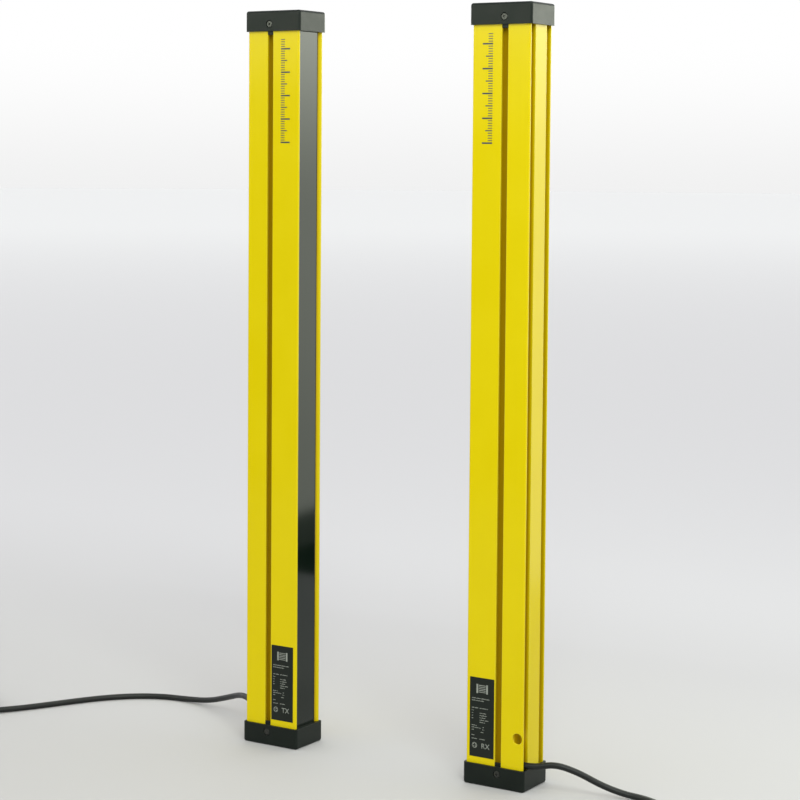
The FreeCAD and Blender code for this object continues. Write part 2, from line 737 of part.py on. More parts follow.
def post_pieces(unit):
    """Return every piece of one post, by name, in the post's own frame."""
    cap = cap_at_foot()
    gasket = gasket_at_foot()
    screws = both_sides(cap_screw())
    nuts = both_sides(cap_nut())
    return {
        "housing": housing(),
        "window": window(),
        "window_seals": window_seals(),
        "bottom_cap": cap,
        "top_cap": upside_down(cap),
        "bottom_gasket": gasket,
        "top_gasket": upside_down(gasket),
        "cap_screws": at_both_ends(screws),
        "cap_nuts": at_both_ends(nuts),
        "rating_plate": rating_plate(unit.plate_side),
        "lens_strip": lens_strip(),
        "optics_carrier": optics_carrier(),
        unit.optics: emitters() if unit.optics == "emitters" else sensors(),
        "optics_board": optics_board(),
        "board_clips": board_clips(),
        "status_lamps": status_lamps(),
        "control_board": control_board(),
        "control_chips": control_chips(),
        "capacitors": capacitors(),
        "board_link": board_link(),
        "terminal_block": terminal_block(),
        "lead_collar": lead_collar(),
        "lead_cores": lead_cores(),
    }


def floor_pieces(unit):
    """Return the lead and what is on it, by name, in the pair's frame."""
    return {
        "lead": lead(unit),
        "lead_coil": lead_coil(unit),
        "coil_tie": coil_tie(unit),
        "plug_body": plug_body(unit),
        "plug_ring": plug_ring(unit),
        "plug_pins": plug_pins(unit),
    }


def write(name, shapes):
    """Write one node, which holds one solid or a group of separate solids."""
    solids = shapes if isinstance(shapes, list) else [shapes]
    solids = [s for shape in solids for s in shape.Solids]
    for solid in solids:
        if not solid.isValid():
            print("not valid:", name)
    shape = solids[0] if len(solids) == 1 else Part.makeCompound(solids)
    shape.exportStep(f"parts/{name}.step")


def main():
    """Write every node of both posts."""
    os.makedirs("parts", exist_ok=True)
    for unit in UNITS:
        for name, shapes in post_pieces(unit).items():
            group = shapes if isinstance(shapes, list) else [shapes]
            write(f"{unit.name}_{name}", [placed(s, unit) for s in group])
        for name, shapes in floor_pieces(unit).items():
            write(f"{unit.name}_{name}", shapes)


main()
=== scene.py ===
"""Looks of the safety light curtain: two yellow posts with printed plates, and two leads with plugs."""

import logging
import math
from dataclasses import dataclass
from enum import Enum
from typing import Callable, Iterable, Sequence

import bmesh
import bpy
from mathutils import Matrix, Vector


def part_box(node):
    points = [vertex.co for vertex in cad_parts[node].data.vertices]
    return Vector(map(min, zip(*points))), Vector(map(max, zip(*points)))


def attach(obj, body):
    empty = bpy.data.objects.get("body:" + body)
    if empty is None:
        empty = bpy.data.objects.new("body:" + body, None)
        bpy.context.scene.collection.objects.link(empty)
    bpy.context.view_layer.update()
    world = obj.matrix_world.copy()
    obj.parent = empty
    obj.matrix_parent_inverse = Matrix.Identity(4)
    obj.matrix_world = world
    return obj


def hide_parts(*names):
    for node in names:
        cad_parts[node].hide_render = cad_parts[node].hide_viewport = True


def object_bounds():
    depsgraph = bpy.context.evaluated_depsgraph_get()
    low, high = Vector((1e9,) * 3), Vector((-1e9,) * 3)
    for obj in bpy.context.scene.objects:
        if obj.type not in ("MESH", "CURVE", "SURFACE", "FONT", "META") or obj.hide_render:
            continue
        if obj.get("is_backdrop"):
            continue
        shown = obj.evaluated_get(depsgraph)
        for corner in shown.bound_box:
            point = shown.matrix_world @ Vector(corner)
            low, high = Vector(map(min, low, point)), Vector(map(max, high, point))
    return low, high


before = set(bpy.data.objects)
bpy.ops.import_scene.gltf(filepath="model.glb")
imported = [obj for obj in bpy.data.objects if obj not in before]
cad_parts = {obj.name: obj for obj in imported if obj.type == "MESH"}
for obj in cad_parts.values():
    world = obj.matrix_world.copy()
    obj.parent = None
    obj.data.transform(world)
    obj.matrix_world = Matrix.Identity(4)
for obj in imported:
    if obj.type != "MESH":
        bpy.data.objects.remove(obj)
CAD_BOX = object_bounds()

LOG = logging.getLogger("light_curtain")
MM = 0.001
POST_PITCH = 225.0  # mm, between the posts' axes
HALF_DEPTH = 26.5  # mm, from a post's middle to its front and rear faces
HALF_WIDTH = 18.0  # mm, from a post's middle to its side faces

Colour = tuple[float, float, float]
Point = tuple[float, float, float]
Pair = tuple[float, float]
Socket = bpy.types.NodeSocket
Piece = bpy.types.Object


class Side(Enum):
    """The two posts, by the way their windows look along X."""

    TRANSMITTER = 1
    RECEIVER = -1

    @property
    def label(self) -> str:
        """Return the prefix of this post's pieces."""
        return self.name.lower()


# -------------------- finishes


class Grain(Enum):
    """What a finish shows besides its plain noise."""

    PLAIN = "plain"
    BRUSHED = "brushed"
    WOVEN = "woven"
    TRACES = "traces"


class NodeBench:
    """Builds one material's node tree."""

    def __init__(self, name: str) -> None:
        """Start an empty material.

        Args:
            name: The material's name.
        """
        self.material = bpy.data.materials.new(name)
        self.material.use_nodes = True
        self.tree = self.material.node_tree
        self.tree.nodes.clear()
        self.output = self.add("ShaderNodeOutputMaterial")
        self.position = self.add("ShaderNodeTexCoord").outputs["Object"]

    def add(self, kind: str, sockets: dict | None = None, **settings: object) -> bpy.types.Node:
        """Add a node.

        Args:
            kind: The node's type.
            sockets: Values or output sockets for its inputs, by name or number.
            settings: Attributes of the node.

        Returns:
            The new node.
        """
        node = self.tree.nodes.new(kind)
        for key, value in settings.items():
            setattr(node, key, value)
        for key, value in (sockets or {}).items():
            if isinstance(value, Socket):
                self.tree.links.new(value, node.inputs[key])
            else:
                node.inputs[key].default_value = value
        return node

    def noise(self, scale: float, detail: float = 2.0, stretch: Point = (1.0, 1.0, 1.0)) -> Socket:
        """Return a noise that is fixed to the piece.

        Args:
            scale: Waves per metre.
            detail: Octaves.
            stretch: Factors on the three axes.

        Returns:
            The noise's factor.
        """
        mapping = self.add("ShaderNodeMapping", {"Vector": self.position, "Scale": stretch})
        waves = {"Vector": mapping.outputs[0], "Scale": scale, "Detail": detail, "Roughness": 0.55}
        return self.add("ShaderNodeTexNoise", waves).outputs["Fac"]

    def math(self, operation: str, a: object, b: object = 0.0, c: object = 0.0) -> Socket:
        """Return the result of a Math node.

        Args:
            operation: What it does.
            a: The first value or socket.
            b: The second.
            c: The third.

        Returns:
            The result.
        """
        return self.add("ShaderNodeMath", {0: a, 1: b, 2: c}, operation=operation).outputs[0]

    def ramp(self, value: object, low: float, high: float, start: float = 0.0, end: float = 1.0) -> Socket:
        """Return a value mapped smoothly from one range to another.

        Args:
            value: The socket to map.
            low: Where the ramp starts.
            high: Where it ends.
            start: The result at low.
            end: The result at high.

        Returns:
            The mapped value.
        """
        node = self.add(
            "ShaderNodeMapRange",
            {"Value": value, "From Min": low, "From Max": high, "To Min": start, "To Max": end},
            interpolation_type="SMOOTHSTEP",
        )
        return node.outputs[0]

    def mix(self, factor: object, a: object, b: object) -> Socket:
        """Return a mix of two colours.

        Args:
            factor: How much of the second shows.
            a: The first colour or its socket.
            b: The second.

        Returns:
            The mixed colour.
        """
        four = [x if isinstance(x, Socket) else (*x, 1.0) for x in (a, b)]
        node = self.add("ShaderNodeMix", {0: factor, 6: four[0], 7: four[1]}, data_type="RGBA")
        return node.outputs[2]

    def bump(self, height: object, depth: float, below: Socket | None = None) -> Socket:
        """Return a normal that follows a height.

        Args:
            height: The height's socket, from 0 to 1.
            depth: The depth of the relief in metres.
            below: A normal that it is laid on.

        Returns:
            The normal.
        """
        sockets = {"Height": height, "Strength": 1.0, "Distance": depth}
        if below is not None:
            sockets["Normal"] = below
        return self.add("ShaderNodeBump", sockets).outputs[0]

    def surfaced(self, kind: str, sockets: dict) -> bpy.types.Material:
        """Return the material with a shader on its output.

        Args:
            kind: The shader's type.
            sockets: Values or output sockets for its inputs.

        Returns:
            The material.
        """
        shader = self.add(kind, sockets)
        self.tree.links.new(shader.outputs[0], self.output.inputs["Surface"])
        return self.material


# Painted shade: the yellow darkens towards a brown tone with depth inside the posts' outer faces.
INSET_SHADE_RAMP = (0.0003, 0.0028)  # metres inside the profile over which its recess tone sets in
INSET_SHADE_WEIGHT = 0.6


@dataclass(frozen=True)
class Finish:
    """A surface: its colour, how it varies, its gloss and its relief."""

    name: str
    colour: Colour
    shade: Colour  # the colour in the noise's hollows
    roughness: float = 0.5
    spread: float = 0.08
    metallic: float = 0.0
    cloud: float = 30.0  # waves per metre of the slow variation
    grain: float = 1500.0  # waves per metre of the relief
    depth: float = 0.00002  # the relief, in metres
    edge: float = 0.0  # radius over which a sharp edge catches light, in metres
    # painted highlight: the paler colour laid along sharp edges
    edge_highlight_colour: Colour | None = None
    coat: float = 0.0
    coat_roughness: float = 0.1
    ior: float = 1.5
    specular: float = 0.5
    sheen: float = 0.0
    transmission: float = 0.0
    # painted shade: the tone laid towards the floors of the profile's grooves and on every face set in from
    # the outer faces
    inset_shade: Colour | None = None  # the tone towards the floor of the profile's grooves
    pattern: Grain = Grain.PLAIN
    pattern_scale: float = 900.0

    def build(self) -> bpy.types.Material:
        """Return the finish as a material."""
        bench = NodeBench(self.name)
        cloud = bench.noise(self.cloud, 3.0)
        fine = self.fine_grain(bench)
        speckle = bench.ramp(bench.noise(self.grain * 1.7, 2.0), 0.35, 0.7)
        slow = bench.math("MULTIPLY", bench.ramp(cloud, 0.3, 0.7), 0.65)
        tone = bench.math("MULTIPLY_ADD", speckle, 0.35, slow)
        colour = bench.mix(tone, self.shade, self.colour)
        normal = None
        if self.edge > 0.0:
            bevel = bench.add("ShaderNodeBevel", {"Radius": self.edge}, samples=6)
            normal = bevel.outputs[0]
            # Painted highlight: a paler colour along sharp edges where the bevelled normal turns from the
            # true one, broken up by the grain.
            if self.edge_highlight_colour is not None:
                true = bench.add("ShaderNodeNewGeometry").outputs["Normal"]
                dot = bench.add("ShaderNodeVectorMath", {0: normal, 1: true}, operation="DOT_PRODUCT")
                turned = bench.ramp(dot.outputs["Value"], 0.995, 0.93)
                painted_edge_highlight = bench.math("MULTIPLY", turned, bench.ramp(fine, 0.25, 0.6))
                colour = bench.mix(painted_edge_highlight, colour, self.edge_highlight_colour)
        # Painted shade: darker with depth inside the post's outer faces.
        if self.inset_shade is not None:
            inset_shade_mask = bench.ramp(self.depth_in_profile(bench), *INSET_SHADE_RAMP)
            colour = bench.mix(bench.math("MULTIPLY", inset_shade_mask, INSET_SHADE_WEIGHT), colour, self.inset_shade)
        low, high = self.roughness - self.spread, self.roughness + self.spread
        rough = bench.ramp(cloud, 0.25, 0.75, low, high)
        return bench.surfaced(
            "ShaderNodeBsdfPrincipled",
            {
                "Base Color": colour,
                "Roughness": rough,
                "Metallic": self.metallic,
                "IOR": self.ior,
                "Specular IOR Level": self.specular,
                "Coat Weight": self.coat,
                "Coat Roughness": self.coat_roughness,
                "Sheen Weight": self.sheen,
                "Transmission Weight": self.transmission,
                "Normal": bench.bump(fine, self.depth, normal),
            },
        )

    def depth_in_profile(self, bench: NodeBench) -> Socket:
        """Return how far a point lies inside its post's outer faces, in metres.

        Args:
            bench: The tree to add it to.

        Returns:
            The depth, nought on the outer faces.
        """
        split = bench.add("ShaderNodeSeparateXYZ", {0: bench.position})
        from_middle = bench.math("ABSOLUTE", split.outputs["X"])
        across = bench.math("ABSOLUTE", bench.math("SUBTRACT", from_middle, POST_PITCH / 2 * MM))
        side = bench.math("ABSOLUTE", split.outputs["Y"])
        from_front = bench.math("SUBTRACT", HALF_DEPTH * MM, across)
        return bench.math("MINIMUM", from_front, bench.math("SUBTRACT", HALF_WIDTH * MM, side))

    def fine_grain(self, bench: NodeBench) -> Socket:
        """Return the height of the finish's relief.

        Args:
            bench: The tree to add it to.

        Returns:
            The height, from 0 to 1.
        """
        if self.pattern is Grain.BRUSHED:
            return bench.noise(self.grain, 3.0, (1.0, 1.0, 0.04))
        if self.pattern is Grain.WOVEN:
            waves = []
            for direction in ("X", "Z"):
                wave = bench.add(
                    "ShaderNodeTexWave",
                    {"Vector": bench.position, "Scale": self.pattern_scale, "Distortion": 0.6},
                    bands_direction=direction,
                )
                waves.append(wave.outputs["Fac"])
            return bench.math("MULTIPLY", bench.math("MAXIMUM", *waves), bench.noise(self.grain))
        if self.pattern is Grain.TRACES:
            bricks = {"Vector": bench.position, "Scale": self.pattern_scale, "Mortar Size": 0.03}
            return bench.add("ShaderNodeTexBrick", bricks).outputs["Fac"]
        return bench.noise(self.grain, 2.0)


# In these finishes the edge colours are painted highlights along sharp edges.
POWDER_YELLOW = Finish(
    "powder_yellow", (0.705, 0.567, 0.0012), (0.68, 0.54, 0.0008), roughness=0.17, spread=0.03,
    cloud=18.0, grain=1100.0, depth=0.000008, edge=0.00035, edge_highlight_colour=(0.88, 0.80, 0.12), specular=0.15,
    # painted shade in the grooves
    inset_shade=(0.26, 0.085, 0.0005),
)
DARK_PANE = Finish(
    "dark_pane", (0.0045, 0.0095, 0.006), (0.003, 0.0075, 0.0045), roughness=0.07, spread=0.02,
    cloud=9.0, grain=240.0, depth=0.0000012, edge=0.0002, specular=0.3,
)
CAP_PLASTIC = Finish(
    "cap_plastic", (0.0075, 0.0122, 0.009), (0.0055, 0.009, 0.0068), roughness=0.38, spread=0.05,
    cloud=60.0, grain=2600.0, depth=0.000022, edge=0.0004, edge_highlight_colour=(0.03, 0.036, 0.031), specular=0.18,
)
SEAL_RUBBER = Finish(
    "seal_rubber", (0.012, 0.012, 0.012), (0.008, 0.008, 0.008), roughness=0.75, grain=3000.0,
)
SCREW_STEEL = Finish(
    "screw_steel", (0.075, 0.078, 0.072), (0.05, 0.052, 0.048), roughness=0.34, metallic=1.0, grain=5000.0,
    depth=0.000006, edge=0.00012, edge_highlight_colour=(0.22, 0.22, 0.21),
)
NUT_STEEL = Finish(
    "nut_steel", (0.62, 0.62, 0.58), (0.5, 0.5, 0.46), roughness=0.35, metallic=1.0, grain=4000.0,
    depth=0.00001, pattern=Grain.BRUSHED,
)
PLATE_BLACK = Finish(
    "plate_black", (0.0075, 0.012, 0.0085), (0.006, 0.0095, 0.0068), roughness=0.38, spread=0.04,
    cloud=70.0, grain=3500.0, depth=0.000008, edge=0.0001, specular=0.26,
)
PLATE_PRINT = Finish(
    "plate_print", (0.33, 0.35, 0.31), (0.20, 0.22, 0.19), cloud=400.0, grain=6000.0, depth=0.000004,
)
NAVY_PRINT = Finish(
    "navy_print", (0.012, 0.020, 0.040), (0.009, 0.015, 0.030), roughness=0.4, cloud=150.0, grain=5000.0,
    depth=0.000004,
)
LENS_CLEAR = Finish(
    "lens_clear", (0.85, 0.88, 0.88), (0.80, 0.84, 0.84), roughness=0.05, spread=0.02, grain=800.0,
    depth=0.000002, transmission=0.9, ior=1.49,
)
CARRIER_BLACK = Finish(
    "carrier_black", (0.014, 0.014, 0.014), (0.010, 0.010, 0.010), roughness=0.6, grain=2200.0,
)
DIODE_CLEAR = Finish(
    "diode_clear", (0.80, 0.84, 0.90), (0.70, 0.74, 0.80), roughness=0.06, spread=0.02, grain=900.0,
    depth=0.000002, transmission=0.8,
)
SENSOR_BLACK = Finish("sensor_black", (0.015, 0.010, 0.014), (0.010, 0.007, 0.010), roughness=0.2)
BOARD_GREEN = Finish(
    "board_green", (0.010, 0.12, 0.045), (0.007, 0.085, 0.03), roughness=0.3, depth=0.00003, coat=0.4,
    pattern=Grain.TRACES, pattern_scale=160.0,
)
LAMP_WHITE = Finish("lamp_white", (0.75, 0.75, 0.70), (0.6, 0.6, 0.55), roughness=0.3)
CHIP_BLACK = Finish("chip_black", (0.02, 0.02, 0.02), (0.015, 0.015, 0.015), roughness=0.55, grain=4000.0)
CAPACITOR_METAL = Finish(
    "capacitor_metal", (0.7, 0.7, 0.72), (0.6, 0.6, 0.62), roughness=0.3, metallic=1.0, grain=2500.0,
    pattern=Grain.BRUSHED,
)
TERMINAL_GREY = Finish("terminal_grey", (0.22, 0.23, 0.24), (0.18, 0.19, 0.2), grain=2500.0)
LEAD_BLACK = Finish(
    "lead_black", (0.011, 0.013, 0.012), (0.008, 0.0095, 0.009), roughness=0.42, spread=0.06,
    cloud=120.0, grain=2800.0, specular=0.32,
)
CORE_WHITE = Finish("core_white", (0.7, 0.7, 0.66), (0.6, 0.6, 0.56), roughness=0.45, grain=3000.0)
TIE_FABRIC = Finish(
    "tie_fabric", (0.016, 0.017, 0.019), (0.006, 0.0065, 0.0075), roughness=0.9, cloud=300.0, grain=5200.0,
    depth=0.0002, specular=0.2, sheen=0.12, pattern=Grain.WOVEN, pattern_scale=420.0,
)
PLUG_BLACK = Finish(
    "plug_black", (0.010, 0.011, 0.011), (0.007, 0.008, 0.008), roughness=0.45, cloud=160.0, grain=3200.0,
    depth=0.00003, edge=0.0002, edge_highlight_colour=(0.05, 0.05, 0.05), specular=0.35,
)
RING_NICKEL = Finish(
    "ring_nickel", (0.66, 0.64, 0.58), (0.56, 0.54, 0.49), roughness=0.24, metallic=1.0, cloud=200.0,
    grain=6000.0, depth=0.000006, edge=0.00012,
)
PIN_GOLD = Finish(
    "pin_gold", (0.95, 0.68, 0.25), (0.85, 0.6, 0.2), roughness=0.18, metallic=1.0, grain=5000.0,
    depth=0.000004,
)

# The finish of each carried-over CAD node, by the node's name without its post
NODE_FINISHES: dict[str, Finish] = {
    "housing": POWDER_YELLOW,
    "window": DARK_PANE,
    "window_seals": SEAL_RUBBER,
    "bottom_cap": CAP_PLASTIC,
    "top_cap": CAP_PLASTIC,
    "bottom_gasket": SEAL_RUBBER,
    "top_gasket": SEAL_RUBBER,
    "cap_screws": SCREW_STEEL,
    "cap_nuts": NUT_STEEL,
    "rating_plate": PLATE_BLACK,
    "lens_strip": LENS_CLEAR,
    "optics_carrier": CARRIER_BLACK,
    "emitters": DIODE_CLEAR,
    "sensors": SENSOR_BLACK,
    "optics_board": BOARD_GREEN,
    "board_clips": CARRIER_BLACK,
    "status_lamps": LAMP_WHITE,
    "control_board": BOARD_GREEN,
    "control_chips": CHIP_BLACK,
    "capacitors": CAPACITOR_METAL,
    "board_link": CORE_WHITE,
    "terminal_block": TERMINAL_GREY,
    "lead_collar": PLUG_BLACK,
    "lead_cores": CORE_WHITE,
    "plug_pins": PIN_GOLD,
}


class Paintshop:
    """Builds each finish once and puts it on pieces."""

    def __init__(self) -> None:
        """Start with no materials made."""
        self.made: dict[str, bpy.types.Material] = {}

    def coat(self, piece: Piece, finish: Finish) -> None:
        """Give a new piece its finish.

        Args:
            piece: The piece.
            finish: Its finish.
        """
        piece.data.materials.clear()
        piece.data.materials.append(self.get(finish))

    def get(self, finish: Finish) -> bpy.types.Material:
        """Return a finish's material, built on first use.

        Args:
            finish: The finish.

        Returns:
            Its material.
        """
        if finish.name not in self.made:
            self.made[finish.name] = finish.build()
        return self.made[finish.name]

    def recoat_nodes(self) -> int:
        """Give every CAD node that is kept its finish.

        Returns:
            How many nodes were finished.
        """
        count = 0
        for name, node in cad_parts.items():
            short = name.split("_", 1)[1]
            if short in NODE_FINISHES:
                for slot in node.material_slots:
                    slot.material = self.get(NODE_FINISHES[short])
                count += 1
        return count


# -------------------- modelling


SAME_PLACE = 0.002  # mm, within which vertices are merged


def new_object(name: str, data: bpy.types.ID) -> Piece:
    """Put new data into the scene.

    Args:
        name: The object's name.
        data: Its mesh, curve, camera or light.

    Returns:
        The object.
    """
    made = bpy.data.objects.new(name, data)
    bpy.context.scene.collection.objects.link(made)
    return made


def verts_in(geometry: Iterable[object]) -> list[bmesh.types.BMVert]:
    """Return the vertices among what an operator gave back.

    Args:
        geometry: Vertices, edges and faces.

    Returns:
        The vertices.
    """
    return [part for part in geometry if isinstance(part, bmesh.types.BMVert)]


class Workpiece:
    """A mesh in the making, in millimetres, shaped with bmesh operators."""

    def __init__(self) -> None:
        """Start empty."""
        self.bm = bmesh.new()

    def block(self, low: Point, high: Point) -> list[bmesh.types.BMVert]:
        """Add a block between two corners.

        Args:
            low: The lowest corner.
            high: The highest corner.

        Returns:
            The block's vertices.
        """
        size = [h - l for l, h in zip(low, high)]
        middle = [(h + l) / 2 for l, h in zip(low, high)]
        place = Matrix.Translation(middle) @ Matrix.Diagonal((*size, 1.0))
        return bmesh.ops.create_cube(self.bm, size=1.0, matrix=place)["verts"]

    def turned(self, profile: Sequence[Pair], steps: int) -> None:
        """Spin a profile round Z into a closed body.

        Args:
            profile: Radii and heights, from the axis or back to the start.
            steps: Faces round the axis.
        """
        verts = [self.bm.verts.new((radius, 0.0, height)) for radius, height in profile]
        edges = [self.bm.edges.new(pair) for pair in zip(verts, verts[1:])]
        bmesh.ops.spin(
            self.bm, geom=[*verts, *edges], cent=(0, 0, 0), axis=(0, 0, 1), dvec=(0, 0, 0), angle=math.tau,
            steps=steps, use_merge=True, use_duplicate=False,
        )
        self.close_up()

    def close_up(self) -> None:
        """Merge what lies together and turn the faces outwards."""
        bmesh.ops.remove_doubles(self.bm, verts=self.bm.verts[:], dist=SAME_PLACE)
        bmesh.ops.dissolve_degenerate(self.bm, dist=SAME_PLACE / 4, edges=self.bm.edges[:])
        bmesh.ops.recalc_face_normals(self.bm, faces=self.bm.faces[:])

    def faces_where(self, test: Callable[[Vector, Vector], bool]) -> list[bmesh.types.BMFace]:
        """Return the faces that pass a test.

        Args:
            test: Says yes or no from a face's centre and normal.

        Returns:
            The faces.
        """
        self.bm.normal_update()
        return [f for f in self.bm.faces if test(f.calc_center_median(), f.normal)]

    def finish(self, name: str, place: Matrix, smooth_below: float = 35.0) -> Piece:
        """Turn the mesh into a piece with its place in its mesh.

        Args:
            name: The piece's name.
            place: From the mesh's millimetres to the row frame.
            smooth_below: Edges under this angle, in degrees, are shaded smooth.

        Returns:
            The piece.
        """
        self.bm.transform(place)
        self.bm.normal_update()
        limit = math.radians(smooth_below)
        for face in self.bm.faces:
            face.smooth = True
        for edge in self.bm.edges:
            edge.smooth = len(edge.link_faces) == 2 and edge.calc_face_angle(math.pi) < limit
        mesh = bpy.data.meshes.new(name)
        self.bm.to_mesh(mesh)
        self.bm.free()
        return new_object(name, mesh)


# -------------------- the leads


@dataclass
class LeadRun:
    """One post's lead: its route over the floor, its coil and the straight end in the plug. Millimetres."""

    side: Side
    exit: Point
    route: Sequence[Point]
    coil_centre: Pair
    turn: int  # +1 wound anticlockwise from above
    angle_in: float  # degrees, where the lead joins the coil
    angle_out: float
    tie_at: float
    length: float  # the whole lead, in metres
    diameter: float = 5.2
    outer_radius: float = 38.8  # of the outermost turn's middle
    low: float = 3.3  # height of the lower layer's middle
    points_per_turn: int = 16
    plug_height: float = 7.35
    tail: float = 22.0

    @property
    def winding(self) -> list[Point]:
        """Return the turns as degrees from the entry, row counted from outside, and layer.

        The lower layer winds inwards, the lead climbs on the innermost row, and the upper one winds outwards.
        """
        over = (self.angle_out - self.angle_in) * self.turn % 360
        down = [(360 * row + step, float(row), 0.0) for row in range(4) for step in (0, 290)]
        down[-1] = (1300.0, 3.0, 0.0)
        up = [(1370.0, 3.0, 1.0)]
        for row in (3, 2, 1, 0):
            start = 1440 + over + 360 * (3 - row)
            up += [(start - 300, float(row), 1.0)] if row < 3 else []
            up += [(start, float(row), 1.0)]
        return down + up

    @property
    def heading_out(self) -> Vector:
        """Return the direction in which the lead leaves the coil."""
        a = math.radians(self.angle_out)
        return Vector((-math.sin(a), math.cos(a), 0.0)) * self.turn

    @property
    def plug_origin(self) -> Vector:
        """Return where the lead enters its plug."""
        leaves = self.on_coil(self.angle_out, self.outer_radius, self.plug_height)
        return leaves + self.heading_out * self.tail

    def on_coil(self, degrees: float, radius: float, height: float) -> Vector:
        """Return a point on the coil.

        Args:
            degrees: Its angle round the coil.
            radius: Its distance from the coil's axis.
            height: Its height.

        Returns:
            The point.
        """
        a = math.radians(degrees)
        x, y = self.coil_centre
        return Vector((x + radius * math.cos(a), y + radius * math.sin(a), height))

    def wound(self, degrees: float) -> Pair:
        """Return the row and layer at an angle along the winding.

        Args:
            degrees: The angle wound since the entry.

        Returns:
            The row and the layer, with parts of one where the lead steps over.
        """
        for (a, row_a, layer_a), (b, row_b, layer_b) in zip(self.winding, self.winding[1:]):
            if degrees <= b:
                t = (degrees - a) / (b - a)
                t = t * t * (3 - 2 * t)
                return row_a + (row_b - row_a) * t, layer_a + (layer_b - layer_a) * t
        return self.winding[-1][1:]

    def coil_points(self) -> list[Vector]:
        """Return the control points of the coil's turns."""
        whole = self.winding[-1][0]
        count = round(whole / 360 * self.points_per_turn)
        swell = 1 / math.cos(math.pi / self.points_per_turn)
        points = []
        for i in range(count + 1):
            degrees = whole * i / count
            row, layer = self.wound(degrees)
            radius = (self.outer_radius - row * self.diameter) * (swell if 0 < i < count else 1.0)
            height = self.low + layer * self.diameter
            points.append(self.on_coil(self.angle_in + self.turn * degrees, radius, height))
        return points

    def tail_points(self) -> list[Vector]:
        """Return the control points from the coil into the plug."""
        end = self.plug_origin
        steps = ((0.45, 0.7), (0.8, 0.1), (1.02, 0.0))  # shares of the way along and of the height left
        top = self.low + self.diameter - self.plug_height
        back = self.heading_out * self.tail
        return [end - back * (1 - along) + Vector((0, 0, top * left)) for along, left in steps]

    def build(self) -> Piece:
        """Return the lead as one smooth round curve."""
        name = f"{self.side.label}_lead_jacket"
        curve = bpy.data.curves.new(name, "CURVE")
        curve.dimensions = "3D"
        curve.bevel_depth = self.diameter / 2 * MM
        curve.bevel_resolution = 5
        curve.resolution_u = 6
        curve.use_fill_caps = True
        points = [Vector(self.exit), *map(Vector, self.route), *self.coil_points(), *self.tail_points()]
        spline = curve.splines.new("NURBS")
        spline.points.add(len(points) - 1)
        for place, point in zip(spline.points, points):
            place.co = (*(point * MM), 1.0)
        spline.order_u = 3
        spline.use_endpoint_u = True
        return new_object(name, curve)


LIE = 2.65  # height of the lead's middle where it lies on the floor
LEADS = (
    LeadRun(
        Side.TRANSMITTER,
        exit=(-133.0, 12.7, 21.0),
        route=(
            (-147.5, 12.7, 21.0), (-163.5, 20.0, 25.5), (-184.0, 34.5, 23.5), (-208.5, 46.5, 14.5),
            (-235.0, 54.0, 6.0), (-262.0, 57.5, LIE), (-290.0, 52.5, LIE), (-313.5, 38.0, LIE),
            (-332.0, 17.5, LIE), (-346.0, -6.0, LIE), (-358.5, -30.5, LIE), (-371.5, -54.5, LIE),
            (-386.5, -78.0, 3.3),
        ),
        coil_centre=(-435.0, -81.0), turn=-1, angle_in=-34.0, angle_out=180.0, tie_at=226.0, length=1.84,
    ),
    LeadRun(
        Side.RECEIVER,
        exit=(133.0, -12.7, 21.0),
        route=(
            (148.0, -12.7, 21.0), (164.5, -10.6, 26.0), (182.0, -3.5, 20.4), (198.5, 5.0, 10.6),
            (215.0, 12.2, 4.3), (232.5, 15.0, LIE), (249.5, 8.0, LIE), (263.0, -6.0, LIE),
            (271.5, -23.5, LIE), (276.5, -44.0, 3.3),
        ),
        coil_centre=(244.0, -81.6), turn=-1, angle_in=10.0, angle_out=-90.0, tie_at=190.0, length=1.68,
    ),
)


# -------------------- pieces on the leads


def plug_place(run: LeadRun) -> Matrix:
    """Return the transform to the row frame from a plug's own millimetres.

    Args:
        run: The plug's lead.

    Returns:
        The transform. Z runs along the plug from where the lead enters.
    """
    ahead, up = run.heading_out, Vector((0.0, 0.0, 1.0))
    turn = Matrix((up.cross(ahead), up, ahead)).transposed().to_4x4()
    return Matrix.Scale(MM, 4) @ Matrix.Translation(run.plug_origin) @ turn


